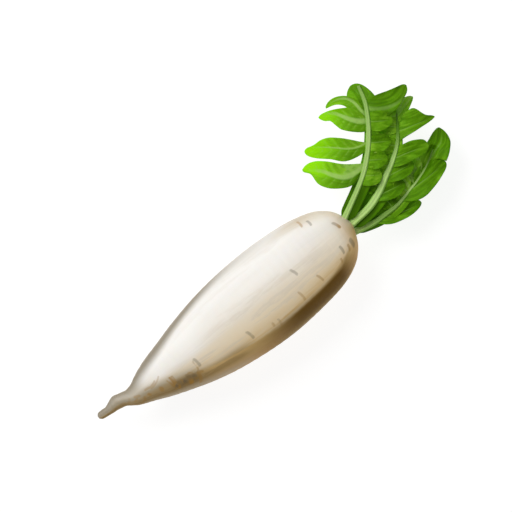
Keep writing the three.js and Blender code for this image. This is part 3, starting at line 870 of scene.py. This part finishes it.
def rib_at(leaf, t):
    """The rib's centre, its direction, the level direction to its left, and its half-width, at t."""
    t = np.asarray(t, float)
    centre = along(leaf["rib"], t)
    ahead, behind = np.minimum(t + SMALL_STEP, 1), np.maximum(t - SMALL_STEP, 0)
    run = unit(along(leaf["rib"], ahead) - along(leaf["rib"], behind))
    left = unit(np.stack([-run[..., 1], run[..., 0], np.zeros_like(t)], axis=-1))
    return centre, run, left, along(leaf["girth"], t)


def tucked(leaf, points):
    """Blade points let down wherever they would lie over the rib, so that a blade leaves it from its side."""
    centre, _, _, girth = rib_at(leaf, np.linspace(0, 1, RIB_SAMPLES))
    apart = np.linalg.norm(points[..., None, :2] - centre[:, :2], axis=-1)
    nearest = apart.argmin(axis=-1)
    beside = apart.min(axis=-1) / girth[nearest]
    room = TUCK_SLOPE * np.maximum(beside - TUCK_WIDTH, 0) - TUCK_DEPTH
    ceiling = centre[nearest, 2] + girth[nearest] * room
    lowered = points.copy()
    lowered[..., 2] = np.minimum(points[..., 2], ceiling)
    return lowered


for leaf in LEAVES:
    t = np.linspace(0, 1, 200)
    length = np.linalg.norm(np.diff(rib_at(leaf, t)[0], axis=0), axis=1).sum()
    print(leaf["name"], "rib", round(float(length)), "mm")

# %% [markdown]
# ## The stalk
#
# The stalk is thick and rounded beneath, flatter above, with a shallow channel down the middle that carries
# water to the crown, and fine strings run along it. A round tube would read as a wire, so the section is
# shaped: the top is lowered where the channel runs, and the foot flares a little where it clasps the crown.

# %% Stalk
STALK_SIDES = 28
STALK_STEPS = 110
STALK_DEPTH_SHARE = 0.85
FOOT_FLARE = 0.12
CHANNEL_DEPTH = 0.3
CHANNEL_WIDTH = 0.3
STRINGS = 9
STRING_HEIGHT = 0.015


def stalk_points(leaf):
    """The points of a stalk's skin in rows from crown to tip, and the facts its finish reads."""
    t = np.repeat(np.linspace(0, 1, STALK_STEPS), STALK_SIDES)
    angle = np.tile(np.linspace(0, 2 * math.pi, STALK_SIDES, endpoint=False), STALK_STEPS)
    centre, run, left, girth = rib_at(leaf, t)
    up = np.cross(run, left)
    girth = girth * (1 + FOOT_FLARE * smooth(0.2, 0.08, t))
    across, above = np.cos(angle), np.sin(angle)
    channel = CHANNEL_DEPTH * np.exp(-((across / CHANNEL_WIDTH) ** 2)) * (above > 0)
    strings = 1 + STRING_HEIGHT * np.cos(STRINGS * angle)
    points = centre + left * (across * girth * strings)[:, None]
    points += up * ((STALK_DEPTH_SHARE * above - channel) * girth * strings)[:, None]
    across = np.where(above > -0.2, across, 1)  # The underside is as green as an edge.
    return points, {"along": t, "across": across, "tone": along(leaf["rib_tone"], t)}


print(len(stalk_points(UPPER)[0]), "points on a stalk")

# %% [markdown]
# ## A thin blade
#
# Wings and lobes are both blades: a sheet of points thickened to either side along its own normals, thinner
# at the margin than by the rib. One helper closes any such sheet into a solid, so that it has a true
# underside.

# %% Blade helper
BLADE = 0.55
MARGIN_THINNING = 0.7
MARGIN_SHARPNESS = 6


def blade_solid(grid, facts):
    """A closed blade over a grid of points midway through it: its points, its facts and its faces."""
    rows, columns, _ = grid.shape
    normal = unit(np.cross(np.gradient(grid, axis=0), np.gradient(grid, axis=1)))
    margin = np.abs(facts["v"]) ** MARGIN_SHARPNESS
    offset = normal * (BLADE / 2 * (1 - MARGIN_THINNING * margin))[..., None]
    points = np.vstack([(grid + offset).reshape(-1, 3), (grid - offset).reshape(-1, 3)])
    under = rows * columns
    numbers = np.arange(under).reshape(rows, columns)
    rim = np.concatenate([numbers[:-1, 0], numbers[-1, :-1], numbers[:0:-1, -1], numbers[0, :0:-1]])
    following = np.roll(rim, -1)
    faces = grid_faces(rows, columns) + grid_faces(rows, columns, under, flip=True)
    faces += np.stack([rim, under + rim, under + following, following], axis=1).tolist()
    facts = {name: np.tile(np.ravel(values), 2) for name, values in facts.items()}
    return points, facts, faces


print("blade", BLADE, "mm thick by the rib")

# %% [markdown]
# ## The wings
#
# Between its lobes a leaf keeps a narrow strip of blade down both sides of the rib. It is one sheet, laid
# across the whole rib and sunk under it, so that there is no seam where the two sides meet it. It rises a
# little outwards and ripples at its edges.

# %% Wings
WING_STEPS = 90
WING_SPANS = 16
WING_START = 0.09
WING_SINK = 0.5
WING_RISE = 0.03
RIPPLE_HEIGHT = 0.25
RIPPLES = 5
RIPPLE_PHASE = 0.3


def wing_sheet(leaf):
    """The strip of blade down both sides of a rib, and the facts its finish reads."""
    stop, left_widths, right_widths = leaf["wing"]
    share, v = np.meshgrid(np.linspace(0, 1, WING_STEPS), np.linspace(-1, 1, WING_SPANS + 1), indexing="ij")
    centre, _, left, girth = rib_at(leaf, WING_START + (stop - WING_START) * share)
    width = np.where(v > 0, along(left_widths, share), along(right_widths, share))
    width = width * smooth(-0.05, 0.1, share)
    ripple = RIPPLE_HEIGHT * np.sin(2 * math.pi * (RIPPLES * share + RIPPLE_PHASE * np.sign(v))) * v**2
    points = centre + left * (v * width)[..., None]
    points[..., 2] += WING_RISE * np.abs(v * width) - WING_SINK * girth + ripple
    # Painted shade: a wing's green darkens towards the crown, where it lies between the ribs, and wing_tone
    # lifts wings that lie in shade, as painted light.
    return points, {"off": v * width, "v": v, "tone": leaf["wing_tone"] * smooth(0.1, 0.45, share)}


print(wing_sheet(UPPER)[0].shape[:2], "points on a wing")

# %% [markdown]
# ## The lines of a lobe
#
# A lobe grows along a vein that bends as it goes, so its middle line is an arc from the rib to the tip. Its
# first rows lie along the rib and the rest stand square to the line, which gives the broad foot and lets
# neighbouring lobes meet the rib cleanly. A flat shape cut to the outline would leave the rib at a hard edge.

# %% Lobe lines
FOOT_SHARE = 0.3
LEAST_BEND = 1


def lobe_lines(leaf, lobe, u):
    """A lobe's middle line and the direction across it at u, how far that has turned from the rib's own
    direction (0) to square (1), and how fast the rib climbs at its foot."""
    foot, run, _, _ = rib_at(leaf, lobe["at"])
    heading = math.radians(lobe["heading"])
    bend = math.radians(lobe["bend"] if lobe["bend"] < 0 else max(lobe["bend"], LEAST_BEND))
    radius = lobe["reach"] / (2 * math.sin(bend / 2))
    to_tip = np.array([math.cos(heading), math.sin(heading), 0])
    to_left = np.array([-math.sin(heading), math.cos(heading), 0])
    leftwards = np.sign(run @ to_left)
    level_run = math.hypot(run[0], run[1])
    rib_way = leftwards * np.array([run[0], run[1], 0]) / level_run

    turn = (bend * (u - 0.5))[..., None]
    middle = foot + to_tip * radius * (np.sin(turn) + math.sin(bend / 2))
    middle = middle + to_left * radius * (math.cos(bend / 2) - np.cos(turn))
    square = -to_tip * np.sin(turn) + to_left * np.cos(turn)
    squared = np.minimum(1, u / FOOT_SHARE)
    sideways = unit(rib_way * (1 - squared)[..., None] + square * squared[..., None])
    return middle, sideways, squared, leftwards * run[2] / level_run


print("a lobe ends at", lobe_lines(UPPER, UPPER["lobes"][0], np.array([1.0]))[0][0].round(1))

# %% [markdown]
# ## A lobe
#
# Across its middle line a lobe has its own half-width on either side, read from a few measures. The margins
# cup and wave a little, the blade between the side veins is quilted, and the main vein lies in a groove, as
# on any fresh leaf. The same numbers go to the finish, so that veins and quilting line up with the relief.

# %% Lobes
LOBE_STEPS = 44
LOBE_SPANS = 26
TIP_CROWDING = 1.5
TIP_ROUNDING = 12
LEAST_HALF_WIDTH = 0.4
CUP = 1.6
WAVE_HEIGHT = 1.1
WAVES = 1.6
LOBE_PHASE = 0.37
MARGIN_PHASE = 0.4
SIDE_VEINS = 7
FORK_SLANT = 1.1
QUILT_HEIGHT = 0.1
LIME_QUILT = 0.18
GROOVE_DEPTH = 0.25


def lobe_sheet(leaf, lobe, order):
    """A lobe's sheet of points, and the facts its finish reads."""
    steps = 1 - (1 - np.linspace(0, 1, LOBE_STEPS)) ** TIP_CROWDING
    u, v = np.meshgrid(steps, np.linspace(-1, 1, LOBE_SPANS + 1), indexing="ij")
    middle, sideways, squared, climb = lobe_lines(leaf, lobe, u)
    half_width = np.where(v < 0, along(lobe["right"], u), along(lobe["left"], u))
    half_width = np.maximum(half_width * np.sqrt(np.maximum(1 - u**TIP_ROUNDING, 0)), LEAST_HALF_WIDTH)
    off = v * half_width
    from_vein = off - along(lobe["sway"], u)
    points = middle + sideways * off[..., None]

    height = lobe["arch"] * 4 * u * (1 - u) - lobe["drop"] * u**2
    phase = WAVES * u + LOBE_PHASE * order + MARGIN_PHASE * (v < 0)
    wave = WAVE_HEIGHT * np.sin(2 * math.pi * phase)
    height += (CUP + wave) * v**2 * np.sin(math.pi * u) + (1 - squared) * climb * off
    height += lobe["roll"] * off * smooth(0, 0.3, u)
    inner = smooth(0.02, 0.2, u) * smooth(1, 0.85, u)
    quilt = np.cos(2 * math.pi * (SIDE_VEINS * u - FORK_SLANT * np.abs(v)))
    quilt *= (1 - np.abs(v) ** 3) * smooth(0.05, 0.3, np.abs(v))
    height -= (QUILT_HEIGHT + LIME_QUILT * lobe["lime"]) * inner * quilt
    height -= GROOVE_DEPTH * inner * np.exp(-((from_vein / (0.8 + 0.6 * lobe["vein"])) ** 2))
    points[..., 2] += height

    # Lighter by the rib: painted light set by foot, and on the right half of a lobe with half_shade its own
    # paleness beside the vein.
    pale_foot = (lobe["foot"] + max(lobe["half_shade"], 0) * smooth(0.1, -0.2, v)) * smooth(0.5, 0.15, u)
    whole = np.ones_like(u)
    # Painted shade: half_shade darkens the tone of a lobe's left half and takes some of its lime.
    facts = {
        "u": u, "off": from_vein, "v": v, "vein": whole * lobe["vein"], "which": whole * (order + 1),
        "tone": lobe["tone"] - lobe["half_shade"] * smooth(-0.15, 0.25, v) + pale_foot,
        "lime": lobe["lime"] * (1 - 0.5 * lobe["half_shade"] * smooth(0, 0.4, v)),
    }
    return tucked(leaf, points), facts


print(lobe_sheet(UPPER, UPPER["lobes"][0], 0)[0].shape[:2], "points on a lobe")

# %% [markdown]
# ## The blade's finish
#
# A young lobe is lime at its tip and deepens to a strong green towards the rib, in soft uneven patches. Part
# of that is painted light and shade: the lit lobes are limer, shaded halves darker, and lobes that lie in
# shade are lifted. An image would fix that to one lobe. Here it is mixed from the numbers that shaped the
# lobe, so one recipe serves them all.

# %% Blade greens
LEAF_GREENS = {0.0: "3d6600", 0.3: "4f8300", 0.6: "669f0c", 0.95: "8cc22c", 1.0: "8fbd4a"}
LIME_TIP = "90e000"

blade = Finish("leaf blade")
u, v, off, tone, lime, thick, which = map(blade.fact, ["u", "v", "off", "tone", "lime", "vein", "which"])
folds = blade.noise(blade.vector(u * 1.8 + which * 9.0, off * 0.3, which * 7.0), distortion=0.8)
mottle = blade.noise(blade.place(), 70, roughness=0.55)
fine = blade.noise(blade.place(), 420, detail=2.0)

# tone carries painted light and shade as well as the lobe's own green.
lightness = tone + 1.3 * (folds - 0.5) * (1.0 - 0.5 * lime) + 0.2 * (mottle - 0.5)
blade.colour = blade.ramp(lightness, LEAF_GREENS)
tip = (u + 0.12 * (folds - 0.5)).smooth(0.2, 0.95) * lime
blade.lay(tip, LIME_TIP)
print(len(blade.tree.nodes), "nodes with the greens")

# %% [markdown]
# ## The blade's veins
#
# The vein is a pale band that thins towards the tip. Side veins fork off it in pairs, and the quilted blade
# between them is a little darker in its hollows. The surface is satin, and a little light sinks into it.
# Veins modelled one by one would be too heavy for blades as thin as these.

# %% Blade veins
DEEP_GREEN, SIDE_VEIN_GREEN, VEIN_GREEN = "4c8400", "98c552", "a6cd6b"

vein = (abs(off) / (thick * (1.1 - 0.75 * u) + 0.01)).smooth(1.25, 0.35)
vein = vein * u.band(0.0, 0.04, 0.5, 0.95)
ridge = abs((SIDE_VEINS * u - FORK_SLANT * abs(v)).fraction() - 0.5)
side_vein = ridge.smooth(0.3, 0.5) * abs(v).smooth(1.0, 0.5) * u.band(0.03, 0.15, 0.8, 1.0)
show = 0.35 + 0.65 * thick.smooth(0.5, 1.5) * lime.smooth(0.0, 0.1)
hollow = ridge.smooth(0.34, 0.12) * abs(v).smooth(0.1, 0.4) * u.band(0.05, 0.2, 0.55, 0.8)
blade.lay(0.42 * lime * hollow * folds.smooth(0.35, 0.55), DEEP_GREEN)
blade.lay((0.04 + 0.34 * lime) * side_vein * folds.smooth(0.3, 0.6), SIDE_VEIN_GREEN)
blade.lay(0.8 * vein * show, VEIN_GREEN)

height = side_vein * (0.1 + 0.4 * lime) + mottle * 0.4 + fine * 0.2
relief = blade.bump(height, depth=0.0004, strength=0.5)
green_blade = blade.close({
    "Roughness": 0.46 + 0.15 * mottle,
    "Normal": relief,
    "Specular IOR Level": 0.06,
    "Subsurface Weight": 0.06,
    "Subsurface Radius": (0.4, 1.0, 0.2),
    "Subsurface Scale": 0.002,
})
print("finish:", green_blade.name)

# %% [markdown]
# ## The rib's finish
#
# The stalk and rib are pale and juicy, a little uneven, and greener down their edges. Painted shade darkens
# their right side and the stretches where the leaf above hides them. They are palest where they clasp the
# crown, their own paleness there raised by painted light that lifts the shade. It is a separate finish from
# the blade's, because it has its own gloss and lets in more light.

# %% Rib finish
PALE_RIB, RIB_EDGE, RIB_SHADED_SIDE, RIB_PATCH = "bde086", "9ccb5e", "7fb341", "c4e38f"
RIB_IN_SHADE, RIB_FOOT = "5c8a22", "c9d9a4"

stalk = Finish("pale rib")
length, across, tone = map(stalk.fact, ["along", "across", "tone"])
uneven = stalk.noise(stalk.place(), 60)
stalk.colour = stalk.blend(abs(across).smooth(0.35, 1.0), PALE_RIB, RIB_EDGE)
# Painted shade on the right side of the rib, away from the light.
stalk.lay(0.6 * across.smooth(-0.25, -0.85), RIB_SHADED_SIDE)
stalk.lay(0.3 * uneven.smooth(0.45, 0.7), RIB_PATCH)
stalk.lay(1.0 - tone, RIB_IN_SHADE)
# Paler at the crown: the foot's own paleness and painted light that lifts the shade there.
stalk.lay(0.45 * length.smooth(0.16, 0.08), RIB_FOOT)
relief = stalk.bump(uneven, depth=0.0003, strength=0.5)
pale_rib = stalk.close({
    "Roughness": 0.45 + 0.1 * uneven,
    "Normal": relief,
    "Specular IOR Level": 0.1,
    "Subsurface Weight": 0.1,
    "Subsurface Radius": (0.8, 1.0, 0.4),
    "Subsurface Scale": 0.002,
})
print("finish:", pale_rib.name)

# %% [markdown]
# ## Putting a leaf together
#
# A leaf grows in one piece, so its wings, lobes and stalk are gathered into one mesh with two finishes. The
# sheets overlap inside the rib, where nothing is seen, which is simpler than sewing them together and looks
# the same. A number that a part has no use for is left at nought.

# %% Leaf pieces
FACTS = ["u", "v", "off", "tone", "lime", "vein", "which", "along", "across"]


def make_leaf(leaf):
    """One leaf as one object: its wings and lobes in green, its stalk and rib in pale green."""
    sheets = [wing_sheet(leaf)] + [lobe_sheet(leaf, each, order) for order, each in enumerate(leaf["lobes"])]
    parts = [(*blade_solid(*sheet), 0) for sheet in sheets]
    parts.append((*closed_tube(*stalk_points(leaf), STALK_SIDES, flip=True), 1))
    faces, finish_of_face, total = [], [], 0
    for points, _, part_faces, finish in parts:
        faces += [[total + i for i in face] for face in part_faces]
        finish_of_face += [finish] * len(part_faces)
        total += len(points)
    points = np.vstack([part[0] for part in parts])
    facts = {}
    for name in FACTS:
        facts[name] = np.concatenate([part[1].get(name, np.zeros(len(part[0]))) for part in parts])
    piece = make_piece(leaf["name"] + "_blade", points, faces, facts, [green_blade, pale_rib], finish_of_face)
    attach(piece, "root")
    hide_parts(leaf["name"])
    return piece


for leaf in LEAVES:
    piece = make_leaf(leaf)
    print(piece.name, "has", len(piece.data.polygons), "faces")

# %% [markdown]
# ## The table
#
# The radish lies on a white table. To look white all over, a plain sheet would need many lamps, so the table
# glows a little instead. It is grey enough under its glow to keep a faint shadow.

# %% Floor
TABLE_REACH = 6000
TABLE_GLOW = 0.84
TABLE_GREYS = "8e8e8e", "888888"

table = Finish("white table")
grain = table.noise(table.place(), 30, detail=2.0)
table.colour = table.blend(0.1 * grain, *TABLE_GREYS)
white_table = table.close({
    "Roughness": 0.8,
    "Specular IOR Level": 0.1,
    "Emission Color": (1, 1, 1, 1),
    "Emission Strength": TABLE_GLOW,
})
corners = [(x * TABLE_REACH, y * TABLE_REACH, 0) for x, y in ((-1, -1), (1, -1), (1, 1), (-1, 1))]
floor = make_piece("table", corners, [(0, 1, 2, 3)], {}, [white_table])
print("the table reaches", TABLE_REACH, "mm each way")

# %% [markdown]
# ## Soft light
#
# One large lamp high on the left gives the root its long soft gleam, a wider and weaker one above opens the
# shadows between the lobes, and the pale room fills in the rest. A small lamp would cut hard shadows.

# %% Lights
ROOM_LIGHT = 0.32


def area_light(name, towards, distance, size, power):
    """A square soft light that shines on the radish from a direction given as (x, y, z)."""
    light = bpy.data.lights.new(name, "AREA")
    light.energy = power
    light.size = size
    lamp = placed(name, light)
    lamp.location = Vector(towards).normalized() * distance
    lamp.rotation_euler = Vector(towards).to_track_quat("Z", "Y").to_euler()


area_light("key", towards=(-0.1, 0.78, 1.0), distance=1.6, size=0.9, power=15.5)
area_light("sky", towards=(0.1, 0.0, 1.0), distance=2.0, size=2.4, power=4)

world = bpy.data.worlds.new("room")
bpy.context.scene.world = world
world.use_nodes = True
sky = world.node_tree.nodes["Background"]
sky.inputs["Color"].default_value = (1, 1, 1, 1)
sky.inputs["Strength"].default_value = ROOM_LIGHT
bpy.context.scene.view_settings.view_transform = "Standard"
print("lamps:", len(bpy.data.lights))

# %% [markdown]

# %% [markdown]
